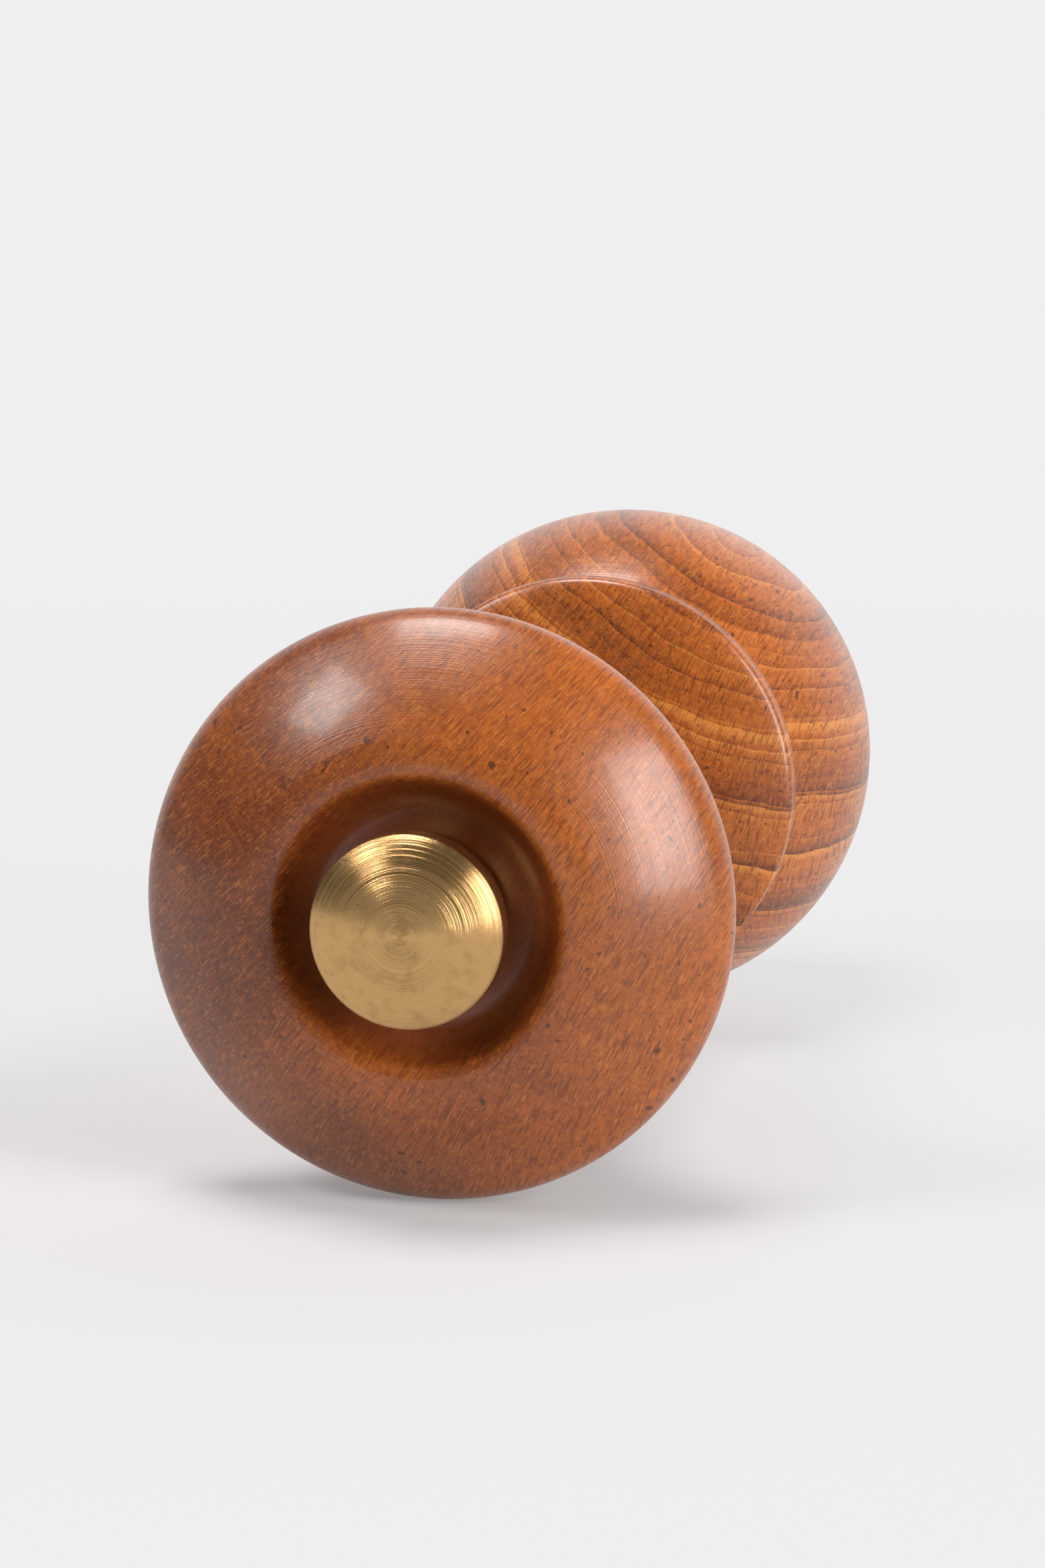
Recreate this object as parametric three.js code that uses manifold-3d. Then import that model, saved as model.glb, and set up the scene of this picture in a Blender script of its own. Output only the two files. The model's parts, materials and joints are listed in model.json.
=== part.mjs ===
// A turned teak pepper mill lying on its side. Millimetres, +Z up.
//
// Every piece is shaped with the mill standing: its axis is local +Z and a height is
// measured from the foot. The last lines lay the whole mill down on its two widest rings,
// with the knob towards -Y and the foot towards +Y.

import * as THREE from 'three';
import { mergeVertices } from 'three/addons/utils/BufferGeometryUtils.js';
import Module from 'manifold-3d';

const wasm = await Module();
wasm.setup();

// ---------------------------------------------------------------- driving dimensions

const LENGTH = 145; // foot to the top of the knob
const RADIUS = 29; // the widest ring of the bulb, and of the head
const GAP = 0.3; // between pieces that touch
const WOOD_SIDES = 32; // facets round the large turned pieces
const METAL_SIDES = 20; // facets round the small ones

// The teak body
const BULB_HEIGHT = 23; // where the bulb is widest
const FOOT_RADIUS = 23.1;
const FOOT_BEVEL = 1;
const COLLAR_RADIUS = 23.9;
const COLLAR_LOW = 47.4; // the collar's straight rim, low and high
const COLLAR_HIGH = 50.2;
const COLLAR_ROUND = 1;
const SEAT_HEIGHT = 53; // the flat round the mouth
const SEAT_RADIUS = 11.8;
const MOUTH_RADIUS = 9.4;
const MOUTH_LOW = 42.5;
const CHAMBER_RADIUS = 14.5;
const CHAMBER_HIGH = 36;
const RECESS_RADIUS = 19.5; // the space for the mechanism
const RECESS_HEIGHT = 22;

// The teak head, its neck and its tenon
const HEAD_HEIGHT = 128; // where the head is widest
const CREST_RADIUS = 15.3;
const CREST_HEIGHT = 138.5;
const DISH_RADIUS = 10.2; // the hollow under the knob
const DISH_FLOOR = 134;
const NECK_RADIUS = 8.8;
const NECK_FOOT_RADIUS = 11;
const NECK_FOOT_HEIGHT = 54.4;
const TENON_RADIUS = 9;
const TENON_LOW = 45.3;
const TENON_GROOVE_RADIUS = 8.3;
const TENON_GROOVE_LOW = 52.7;
const HEAD_BORE = 3.9;
const SLIP_RING = { inner: 8.65, outer: 10.8 }; // runs in the tenon's groove

// The brass knob
const KNOB_RADIUS = 9.4;
const KNOB_LOW = 135.6;
const KNOB_RIM_LOW = 139.6;
const KNOB_RIM_HIGH = 142.3;
const KNOB_WASHER = { inner: 3.3, outer: 8 };

// The square spindle
const SPINDLE_SIDE = 4.8;
const SQUARE_HOLE = SPINDLE_SIDE + 2 * GAP;
const JOURNAL_RADIUS = 2;
const CLIP_GROOVE = { radius: 1.5, low: 4.9 };
const CLIP = { inner: 1.8, outer: 4, low: 5.2, thick: 0.8 };
const THREAD_RADIUS = 2.4;
const SPINDLE_LOW = 1.8;
const SQUARE_LOW = 6.3;
const SQUARE_HIGH = 133;
const SPINDLE_HIGH = 141.2;

// The grinding mechanism
const PLATE_RADIUS = 19.2;
const RING_WALL_RADIUS = 12.4;
const RING_BORE = 11.2; // at the roots of its teeth
const RING_LOW = 6.3;
const FLANGE_LOW = 18.8;
const FLANGE_HIGH = 20.4;
const ROTOR_LOW = 6.3;
const ROTOR_HIGH = 14;
const ROTOR_RADIUS = 9.9; // at the tips of its teeth
const ROTOR_TOP_RADIUS = 6;
const TOOTH_DEPTH = 0.8;
const STRAP_THICK = 1.2;
const STRAP_WIDTH = 7;
const STRAP_LOW = 2;
const STRAP_HIGH = FLANGE_LOW - GAP;
const STRAP_LEG = 14.6; // from the axis to the outside of each leg
const STRAP_REACH = 18.9;
const BRIDGE_LOW = FLANGE_HIGH + GAP;
const BRIDGE_THICK = 1;
const BRIDGE_OPENING = 13.4;
const BRIDGE_HUB = 5.6;
const BRIDGE_BAR = 6;
const SPRING = { coil: 4.6, wire: 0.5, turns: 3 };
const SPRING_SEAT = { inner: 3.8, outer: 5.4, low: ROTOR_HIGH + GAP, thick: 0.8 };
const BRIDGE_SCREW = { x: 16.8, head: 2, headThick: 1.4, shank: 1.1, length: 12 };
const DRIVE_SCREW = { x: 6.3, head: 1.3, headThick: 0.8, shank: 0.7, length: 7 };
const DRIVE_PLATE = { radius: 7.8, low: 43.8, thick: 1.2 };

// ---------------------------------------------------------------- materials

const material = (color, roughness, metalness) =>
  new THREE.MeshStandardMaterial({ color, roughness, metalness });

const teak = material(0x7a3a1c, 0.45, 0);
const brass = material(0xc9a24b, 0.3, 1);
const steel = material(0xa9abad, 0.35, 1);
const darkSteel = material(0x6b6d70, 0.5, 1);

// ---------------------------------------------------------------- shaping

/** Turns a closed outline of (radius, height) points; the flats lie at the given radii. */
function turned(outline, sides, steps = 3) {
  const toCorner = 1 / Math.cos(Math.PI / sides);
  const points = outline.getPoints(steps).map((p) => new THREE.Vector2(p.x * toCorner, p.y));
  return new THREE.LatheGeometry(points, sides, Math.PI / sides).rotateX(Math.PI / 2);
}

/** A closed outline through corners given as [radius, height], anticlockwise. */
function corners(...list) {
  const path = new THREE.Path();
  path.moveTo(...list[0]);
  list.slice(1).forEach((corner) => path.lineTo(...corner));
  path.closePath();
  return path;
}

/** A solid cylinder of height top - low standing on low. */
function post(radius, low, top, sides = METAL_SIDES) {
  const outline = new THREE.Path();
  outline.moveTo(0, low);
  outline.lineTo(radius, low);
  outline.lineTo(radius, top);
  outline.lineTo(0, top);
  return turned(outline, sides);
}

/** A flat ring. */
function ring(inner, outer, low, top, sides = METAL_SIDES) {
  return turned(corners([inner, low], [outer, low], [outer, top], [inner, top]), sides);
}

/** A box centred on the mill's axis. */
function block(width, depth, low, top) {
  return new THREE.BoxGeometry(width, depth, top - low).translate(0, 0, (low + top) / 2);
}

/** A flat plate cut from a shape, lying between two heights. */
function plate(shape, low, thick, curveSegments = 10) {
  const settings = { depth: thick, bevelEnabled: false, curveSegments };
  return new THREE.ExtrudeGeometry(shape, settings).translate(0, 0, low);
}

function toSolid(geometry) {
  const bare = geometry.clone();
  bare.deleteAttribute('normal');
  bare.deleteAttribute('uv');
  const merged = mergeVertices(bare, 1e-4);
  const vertProperties = new Float32Array(merged.attributes.position.array);
  const triVerts = new Uint32Array(merged.index.array);
  return new wasm.Manifold(new wasm.Mesh({ numProp: 3, vertProperties, triVerts }));
}

function toGeometry(solid) {
  const { vertProperties, triVerts } = solid.getMesh();
  const geometry = new THREE.BufferGeometry();
  geometry.setAttribute('position', new THREE.BufferAttribute(vertProperties, 3));
  geometry.setIndex(new THREE.BufferAttribute(triVerts, 1));
  return geometry;
}

function cut(base, ...tools) {
  return toGeometry(tools.reduce((left, tool) => left.subtract(toSolid(tool)), toSolid(base)));
}

function joined(...pieces) {
  return toGeometry(pieces.map(toSolid).reduce((all, piece) => all.add(piece)));
}

/** The two holes for a pair of screws either side of the axis. */
function screwHoles(screw, low, top) {
  const hole = post(screw.shank + GAP, low, top, 10);
  return [-screw.x, screw.x].map((x) => hole.clone().translate(x, 0, 0));
}

/** Turns an outline with straight-sided teeth on the points that isTooth picks. */
function toothed(outline, teeth, twist, isTooth) {
  const points = outline.getPoints(2).map((p) => new THREE.Vector2(p.x, p.y));
  const sides = teeth * 4;
  const geometry = new THREE.LatheGeometry(points, sides).rotateX(Math.PI / 2);
  const position = geometry.attributes.position;
  for (let i = 0; i < position.count; i += 1) {
    const point = points[i % points.length];
    const isRoot = Math.floor(i / points.length) % 4 >= 2;
    const radius = point.x - (isTooth(point) && isRoot ? TOOTH_DEPTH : 0);
    const angle = Math.atan2(position.getY(i), position.getX(i)) + twist * point.y;
    position.setXY(i, radius * Math.cos(angle), radius * Math.sin(angle));
  }
  return geometry;
}

// ---------------------------------------------------------------- teak

function millBody() {
  const bulbLow = BULB_HEIGHT / Math.sqrt(1 - (FOOT_RADIUS / RADIUS) ** 2);
  const footAngle = -Math.asin((BULB_HEIGHT - FOOT_BEVEL) / bulbLow);
  const coveAngle = THREE.MathUtils.degToRad(39.5);
  const outline = new THREE.Path();
  outline.moveTo(RECESS_RADIUS, 0);
  outline.lineTo(FOOT_RADIUS - FOOT_BEVEL, 0);
  outline.absellipse(0, BULB_HEIGHT, RADIUS, bulbLow, footAngle, 0, false);
  outline.absarc(0, BULB_HEIGHT, RADIUS, 0, coveAngle, false);
  outline.quadraticCurveTo(20.6, 43.7, COLLAR_RADIUS - 1, COLLAR_LOW - 0.8);
  outline.lineTo(COLLAR_RADIUS, COLLAR_LOW);
  outline.lineTo(COLLAR_RADIUS, COLLAR_HIGH);
  outline.absarc(COLLAR_RADIUS - COLLAR_ROUND, COLLAR_HIGH, COLLAR_ROUND, 0, Math.PI / 3, false);
  outline.quadraticCurveTo(21.2, SEAT_HEIGHT - 0.7, SEAT_RADIUS, SEAT_HEIGHT);
  outline.lineTo(MOUTH_RADIUS, SEAT_HEIGHT);
  outline.lineTo(MOUTH_RADIUS, MOUTH_LOW);
  outline.lineTo(CHAMBER_RADIUS, CHAMBER_HIGH);
  outline.lineTo(CHAMBER_RADIUS, RECESS_HEIGHT);
  outline.lineTo(RECESS_RADIUS, RECESS_HEIGHT);
  outline.closePath();
  const holeTop = STRAP_HIGH + BRIDGE_SCREW.length;
  return cut(
    turned(outline, WOOD_SIDES),
    ...screwHoles(BRIDGE_SCREW, RECESS_HEIGHT - 1, holeTop),
  );
}

function head() {
  const outline = new THREE.Path();
  outline.moveTo(HEAD_BORE, TENON_LOW);
  outline.lineTo(TENON_RADIUS, TENON_LOW);
  outline.lineTo(TENON_RADIUS, TENON_GROOVE_LOW);
  outline.lineTo(TENON_GROOVE_RADIUS, TENON_GROOVE_LOW);
  outline.lineTo(TENON_GROOVE_RADIUS, NECK_FOOT_HEIGHT);
  outline.lineTo(NECK_FOOT_RADIUS, NECK_FOOT_HEIGHT);
  outline.lineTo(NECK_FOOT_RADIUS, NECK_FOOT_HEIGHT + 1.6);
  outline.quadraticCurveTo(NECK_RADIUS, 62, NECK_RADIUS, 78);
  outline.bezierCurveTo(NECK_RADIUS, 92, 10, 103, 13.4, 111);
  outline.bezierCurveTo(16, 117, 21, 120.6, 26.5, 123.4);
  outline.quadraticCurveTo(RADIUS, 125, RADIUS, HEAD_HEIGHT);
  outline.quadraticCurveTo(RADIUS, HEAD_HEIGHT + 1.7, 27.4, HEAD_HEIGHT + 3.3);
  outline.quadraticCurveTo(22.6, 135.8, CREST_RADIUS + 3, CREST_HEIGHT - 0.8);
  outline.quadraticCurveTo(CREST_RADIUS + 1.9, CREST_HEIGHT - 0.2, CREST_RADIUS, CREST_HEIGHT);
  outline.quadraticCurveTo(CREST_RADIUS - 1.3, CREST_HEIGHT, CREST_RADIUS - 1.7, CREST_HEIGHT - 1);
  outline.quadraticCurveTo(12.5, DISH_FLOOR, DISH_RADIUS, DISH_FLOOR);
  outline.lineTo(HEAD_BORE, DISH_FLOOR);
  outline.closePath();
  const holeTop = DRIVE_PLATE.low + DRIVE_SCREW.length + GAP;
  return cut(
    turned(outline, WOOD_SIDES),
    ...screwHoles(DRIVE_SCREW, TENON_LOW - 1, holeTop),
  );
}

// ---------------------------------------------------------------- brass

function knob() {
  const outline = new THREE.Path();
  outline.moveTo(THREAD_RADIUS + GAP, KNOB_LOW);
  outline.lineTo(6.6, KNOB_LOW);
  outline.quadraticCurveTo(6.8, KNOB_RIM_LOW - 0.4, KNOB_RADIUS, KNOB_RIM_LOW);
  outline.lineTo(KNOB_RADIUS, KNOB_RIM_HIGH);
  outline.lineTo(KNOB_RADIUS - 0.4, KNOB_RIM_HIGH + 0.4);
  outline.quadraticCurveTo(5.4, LENGTH - 0.1, 0, LENGTH);
  outline.lineTo(0, SPINDLE_HIGH + 1);
  outline.lineTo(THREAD_RADIUS + GAP, SPINDLE_HIGH + 1);
  outline.closePath();
  return turned(outline, METAL_SIDES + 4);
}

/** The washer that the knob bears on, at the bottom of the dish. */
function knobWasher() {
  return ring(KNOB_WASHER.inner, KNOB_WASHER.outer, DISH_FLOOR + GAP, KNOB_LOW - GAP);
}

/** The loose washer between the neck's foot and the collar, held on by the tenon's groove. */
function slipRing() {
  const { inner, outer } = SLIP_RING;
  return ring(inner, outer, SEAT_HEIGHT + GAP, NECK_FOOT_HEIGHT - GAP, WOOD_SIDES);
}

// ---------------------------------------------------------------- steel

function spindle() {
  return joined(
    post(JOURNAL_RADIUS, SPINDLE_LOW, CLIP_GROOVE.low),
    post(CLIP_GROOVE.radius, CLIP_GROOVE.low - 0.5, SQUARE_LOW + 0.5),
    block(SPINDLE_SIDE, SPINDLE_SIDE, SQUARE_LOW, SQUARE_HIGH),
    post(THREAD_RADIUS, SQUARE_HIGH - 0.5, SPINDLE_HIGH),
  );
}

function rotor() {
  const outline = new THREE.Path();
  outline.moveTo(0, ROTOR_LOW);
  outline.lineTo(ROTOR_RADIUS - 0.5, ROTOR_LOW);
  outline.lineTo(ROTOR_RADIUS, ROTOR_LOW + 0.5);
  outline.lineTo(ROTOR_RADIUS, ROTOR_LOW + 2.5);
  outline.lineTo((ROTOR_RADIUS + ROTOR_TOP_RADIUS) / 2, (ROTOR_LOW + ROTOR_HIGH) / 2 + 1);
  outline.lineTo(ROTOR_TOP_RADIUS, ROTOR_HIGH);
  outline.lineTo(0, ROTOR_HIGH);
  const body = toothed(outline, 12, 0.05, (point) => point.x > ROTOR_TOP_RADIUS + 0.1);
  return cut(body, block(SQUARE_HOLE, SQUARE_HOLE, ROTOR_LOW - 1, ROTOR_HIGH + 1));
}

function grindingRing() {
  const throat = RING_BORE - TOOTH_DEPTH / 2;
  const wall = RING_WALL_RADIUS;
  const outline = corners(
    [RING_BORE, RING_LOW],
    [wall, RING_LOW],
    [wall, FLANGE_LOW],
    [PLATE_RADIUS, FLANGE_LOW],
    [PLATE_RADIUS, FLANGE_HIGH],
    [wall, FLANGE_HIGH],
    [RING_BORE, 17],
    [throat, 12],
  );
  const body = toothed(outline, 18, -0.04, (point) => point.x < wall - 0.5);
  return cut(body, ...screwHoles(BRIDGE_SCREW, FLANGE_LOW - 1, FLANGE_HIGH + 1));
}

/** The ring and cross bar that the spring pushes against. */
function springBridge() {
  const barAtRim = Math.asin(BRIDGE_BAR / 2 / BRIDGE_OPENING);
  const barAtHub = Math.asin(BRIDGE_BAR / 2 / BRIDGE_HUB);
  const shape = new THREE.Shape();
  shape.absarc(0, 0, PLATE_RADIUS, 0, Math.PI * 2, false);
  for (const turn of [0, Math.PI]) {
    const window = new THREE.Path();
    window.absarc(0, 0, BRIDGE_OPENING, turn + barAtRim, turn + Math.PI - barAtRim, false);
    window.absarc(0, 0, BRIDGE_HUB, turn + Math.PI - barAtHub, turn + barAtHub, true);
    window.closePath();
    shape.holes.push(window);
  }
  const bearing = new THREE.Path();
  bearing.absarc(0, 0, HEAD_BORE, 0, Math.PI * 2, true);
  shape.holes.push(bearing);
  const top = BRIDGE_LOW + BRIDGE_THICK;
  return cut(
    plate(shape, BRIDGE_LOW, BRIDGE_THICK),
    ...screwHoles(BRIDGE_SCREW, BRIDGE_LOW - 1, top + 1),
  );
}

/** The stamped strap under the mechanism, bent down to carry the spindle's lower end. */
function bottomStrap() {
  const inside = STRAP_LEG - STRAP_THICK;
  const floor = STRAP_LOW + STRAP_THICK;
  const end = STRAP_HIGH - STRAP_THICK;
  const half = [
    [0, STRAP_LOW],
    [inside, STRAP_LOW],
    [STRAP_LEG, floor],
    [STRAP_LEG, end],
    [STRAP_REACH, end],
    [STRAP_REACH, STRAP_HIGH],
    [inside, STRAP_HIGH],
    [inside, floor + 0.6],
    [inside - 0.6, floor],
    [0, floor],
  ];
  const mirrored = half.slice(1, -1).reverse().map(([x, y]) => [-x, y]);
  const shape = new THREE.Shape([...half, ...mirrored].map(([x, y]) => new THREE.Vector2(x, y)));
  const strap = plate(shape, -STRAP_WIDTH / 2, STRAP_WIDTH).rotateX(Math.PI / 2);
  return cut(
    strap,
    post(JOURNAL_RADIUS + GAP, STRAP_LOW - 1, floor + 1),
    ...screwHoles(BRIDGE_SCREW, end - 1, STRAP_HIGH + 1),
  );
}

/** A wood screw pointing up the mill, with its slotted head's top face at height. */
function woodScrew(screw, height, side) {
  const tip = height + screw.length;
  const outline = new THREE.Path();
  outline.moveTo(0, height - screw.headThick);
  outline.lineTo(screw.head - 0.4, height - screw.headThick);
  outline.lineTo(screw.head, height - screw.headThick + 0.5);
  outline.lineTo(screw.head, height);
  outline.lineTo(screw.shank, height);
  outline.lineTo(screw.shank, tip - 2 * screw.shank);
  outline.lineTo(0, tip);
  const slot = block(3 * screw.head, screw.head / 4, height - 3, height - screw.headThick * 0.55);
  return cut(turned(outline, 12), slot).translate(side * screw.x, 0, 0);
}

function drivePlate() {
  const { radius, low, thick } = DRIVE_PLATE;
  return cut(
    post(radius, low, low + thick),
    block(SQUARE_HOLE, SQUARE_HOLE, low - 1, low + thick + 1),
    ...screwHoles(DRIVE_SCREW, low - 1, low + thick + 1),
  );
}

function springSeat() {
  const { inner, outer, low, thick } = SPRING_SEAT;
  return ring(inner, outer, low, low + thick);
}

/** The clip in the spindle's groove that carries the rotor. */
function rotorClip() {
  const { inner, outer, low, thick } = CLIP;
  return ring(inner, outer, low, low + thick, 16);
}

/** The compression spring between its seat washer and the spring bridge. */
function millSpring() {
  const { coil, wire, turns } = SPRING;
  const low = SPRING_SEAT.low + SPRING_SEAT.thick + GAP + wire;
  const high = BRIDGE_LOW - GAP - wire;
  const points = [];
  const stepsPerTurn = 12;
  const steps = turns * stepsPerTurn;
  for (let i = 0; i <= steps; i += 1) {
    const angle = (i / stepsPerTurn) * 2 * Math.PI;
    const height = THREE.MathUtils.lerp(low, high, i / steps);
    points.push(new THREE.Vector3(coil * Math.cos(angle), coil * Math.sin(angle), height));
  }
  const section = new THREE.Shape();
  section.absarc(0, 0, wire, 0, Math.PI * 2, false);
  return new THREE.ExtrudeGeometry(section, {
    steps,
    curveSegments: 3,
    extrudePath: new THREE.CatmullRomCurve3(points),
  });
}

// ---------------------------------------------------------------- the mill

const mill = new THREE.Group();

function add(name, geometry, finish) {
  const mesh = new THREE.Mesh(geometry, finish);
  mesh.name = name;
  mill.add(mesh);
}

add('mill_body', millBody(), teak);
add('grinding_ring', grindingRing(), darkSteel);
add('spring_bridge', springBridge(), steel);
add('bottom_strap', bottomStrap(), steel);
add('mill_spring', millSpring(), steel);
add('slip_ring', slipRing(), brass);
add('head', head(), teak);
add('drive_plate', drivePlate(), steel);
add('knob_washer', knobWasher(), brass);
add('knob', knob(), brass);
add('spring_seat', springSeat(), steel);
add('spindle', spindle(), steel);
add('rotor', rotor(), darkSteel);
add('rotor_clip', rotorClip(), steel);

for (const [index, side] of [-1, 1].entries()) {
  const strapFace = STRAP_HIGH - STRAP_THICK - GAP;
  add(`strap_screw_${index + 1}`, woodScrew(BRIDGE_SCREW, strapFace, side), steel);
  const plateFace = DRIVE_PLATE.low - GAP;
  add(`drive_screw_${index + 1}`, woodScrew(DRIVE_SCREW, plateFace, side), steel);
}

mill.rotation.x = Math.PI / 2;
mill.position.set(0, LENGTH / 2, RADIUS);

export default mill;
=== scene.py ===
"""A turned teak pepper mill lying on its side, built around its CAD frame.

The mill has an oiled teak body and head, a knurled brass knob, two brass rings and a steel
grinding mechanism in the foot. Outlines are drawn as (radius, height) in millimetres with the
mill standing on its foot, and are laid down along Y as they are spun.
"""

import json
import math

import bpy
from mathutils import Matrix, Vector

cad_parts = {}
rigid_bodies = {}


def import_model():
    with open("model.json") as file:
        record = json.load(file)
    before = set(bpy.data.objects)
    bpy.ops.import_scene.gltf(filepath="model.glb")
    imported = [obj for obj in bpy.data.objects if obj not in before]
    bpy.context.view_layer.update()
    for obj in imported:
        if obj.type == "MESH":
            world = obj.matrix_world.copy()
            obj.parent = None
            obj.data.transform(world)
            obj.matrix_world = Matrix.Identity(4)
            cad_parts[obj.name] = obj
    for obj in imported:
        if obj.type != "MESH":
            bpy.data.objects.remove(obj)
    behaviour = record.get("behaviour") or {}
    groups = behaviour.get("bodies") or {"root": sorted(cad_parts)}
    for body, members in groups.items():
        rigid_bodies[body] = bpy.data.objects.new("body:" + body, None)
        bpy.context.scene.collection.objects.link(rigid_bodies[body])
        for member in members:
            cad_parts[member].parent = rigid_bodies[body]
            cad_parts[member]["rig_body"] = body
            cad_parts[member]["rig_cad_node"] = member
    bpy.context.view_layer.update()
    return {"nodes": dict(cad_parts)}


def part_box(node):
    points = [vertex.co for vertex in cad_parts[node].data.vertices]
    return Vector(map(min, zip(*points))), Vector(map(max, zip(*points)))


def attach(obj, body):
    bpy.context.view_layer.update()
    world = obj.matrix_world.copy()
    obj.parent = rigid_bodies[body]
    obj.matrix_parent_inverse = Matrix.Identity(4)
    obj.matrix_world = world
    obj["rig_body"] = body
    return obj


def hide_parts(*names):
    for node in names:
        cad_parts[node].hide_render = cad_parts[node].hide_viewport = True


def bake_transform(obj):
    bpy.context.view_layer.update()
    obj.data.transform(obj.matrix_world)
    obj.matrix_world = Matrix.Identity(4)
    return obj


bl_info = {
    "name": "Teak pepper mill",
    "version": (1, 0, 0),
    "blender": (4, 5, 0),
    "location": "3D View > Sidebar > Mill",
    "description": "Builds a turned teak pepper mill with its brass knob and steel mechanism",
    "category": "Object",
}

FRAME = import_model()

# ------------------------------------------------------------------ sizes, in millimetres

MM = 0.001
BODY_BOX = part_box("mill_body")
FOOT_Y = BODY_BOX[1].y
AXIS = Vector((0, 0, (BODY_BOX[0].z + BODY_BOX[1].z) / 2))
RADIUS = (BODY_BOX[1].x - BODY_BOX[0].x) / 2 / MM
LENGTH = (FOOT_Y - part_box("knob")[0].y) / MM
GAP = 0.3

# the teak body
BULB_HEIGHT = 23
FOOT_RADIUS = 23.1
FOOT_BEVEL = 1
COLLAR_RADIUS = 23.9
COLLAR_LOW = 47.4
COLLAR_HIGH = 50.2
COLLAR_ROUND = 1
SEAT_HEIGHT = 53
SEAT_RADIUS = 11.8
MOUTH_RADIUS = 9.4
MOUTH_LOW = 42.5
CHAMBER_RADIUS = 14.5
CHAMBER_HIGH = 36
RECESS_RADIUS = 19.5
RECESS_HEIGHT = 22
COVE_ANGLE = math.radians(39.5)

# the teak head
HEAD_HEIGHT = 128
CREST_RADIUS = 15.3
CREST_HEIGHT = 138.5
DISH_RADIUS = 10.2
DISH_FLOOR = 134
NECK_RADIUS = 8.8
NECK_FOOT_RADIUS = 11
NECK_FOOT_HEIGHT = 54.4
TENON_RADIUS = 9
TENON_LOW = 45.3
TENON_GROOVE_RADIUS = 8.3
TENON_GROOVE_LOW = 52.7
HEAD_BORE = 3.9

# brass
SLIP_RING_RADII = (8.65, 10.8)
KNOB_RADIUS = 9.4
KNOB_LOW = 135.6
KNOB_RIM_LOW = 139.6
KNOB_RIM_HIGH = 142.3
KNOB_BORE = 2.7
KNOB_WASHER_RADII = (3.3, 8)

# the square spindle
SPINDLE_SIDE = 4.8
JOURNAL_RADIUS = 2
CLIP_GROOVE_RADIUS = 1.5
CLIP_GROOVE_LOW = 4.9
SPINDLE_LOW = 1.8
SQUARE_LOW = 6.3
SQUARE_HIGH = 133
SPINDLE_HIGH = 141.2
THREAD_RADIUS = 2.4
THREAD_DEPTH = 0.35
THREAD_PITCH = 0.8

# the mechanism
ROTOR_HIGH = 14
BRIDGE_LOW = 20.7
SPRING_COIL = 4.6
SPRING_WIRE = 0.5
SPRING_TURNS = 3
SPRING_SEAT_RADII = (3.8, 5.4)
WASHER_THICK = 0.8
CLIP_RADII = (1.8, 4)
CLIP_LOW = 5.2
STRAP_SCREW = {"x": 16.8, "head": 2, "head_thick": 1.4, "shank": 1.1, "length": 12, "face": 17}
DRIVE_SCREW = {"x": 6.3, "head": 1.3, "head_thick": 0.8, "shank": 0.7, "length": 7, "face": 43.5}

# ------------------------------------------------------------------ finishes

PORE_COLOUR = (0.035, 0.012, 0.006, 1)
PIT_COLOUR = (0.05, 0.035, 0.02, 1)
# how strongly the head's dish is darkened with painted shade
DISH_PAINTED_SHADE = 0.75
RAY_RADIUS = 110
OIL_COAT = 0.2
OIL_COAT_ROUGHNESS = 0.12

# ------------------------------------------------------------------ the studio, in metres

CAMERA_PLACE = Vector((0.0898, -0.4643, 0.1048))
CAMERA_AIM = Vector((0.0041, -0.0346, 0.0379))
CAMERA_LENS = 100.9
PAPER_WHITE = 0.863
PAPER_CENTRE = (-0.03, -0.05)
PAPER_COLOUR = (0.42, 0.41, 0.41, 1)
PAPER_GLOW = 0.2
SWEEP = 1.05
ROOM_COLOUR = (0.12, 0.12, 0.11, 1)
STUDIO_CENTRE = Vector((0, -0.05, 0.03))
SOFTBOX_DISTANCE = 2
SOFTBOXES = {
    "softbox_left": {"towards": (-0.6, -0.37, 0.7), "width": 0.6, "height": 0.6, "radiance": 11},
    "softbox_top": {"towards": (-0.15, 0.0, 0.98), "width": 0.9, "height": 0.8, "radiance": 11},
    "softbox_right": {"towards": (0.83, -0.42, 0.3), "width": 0.7, "height": 1.4, "radiance": 10},
}


class MillSizes(bpy.types.PropertyGroup):
    knurls: bpy.props.IntProperty(
        name="Knurls", description="Fine teeth round the knob's rim", default=180, min=24
    )
    knurl_depth: bpy.props.FloatProperty(
        name="Knurl depth",
        description="How deep the knob's teeth are cut",
        default=0.09 * MM,
        unit="LENGTH",
    )
    eased_edge: bpy.props.FloatProperty(
        name="Eased edge",
        description="Rounding on the edges of the steel pieces",
        default=0.12 * MM,
        unit="LENGTH",
    )
    ring_width: bpy.props.FloatProperty(
        name="Growth ring",
        description="Average width of a strong growth ring in the teak",
        default=7.5 * MM,
        unit="LENGTH",
    )


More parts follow.
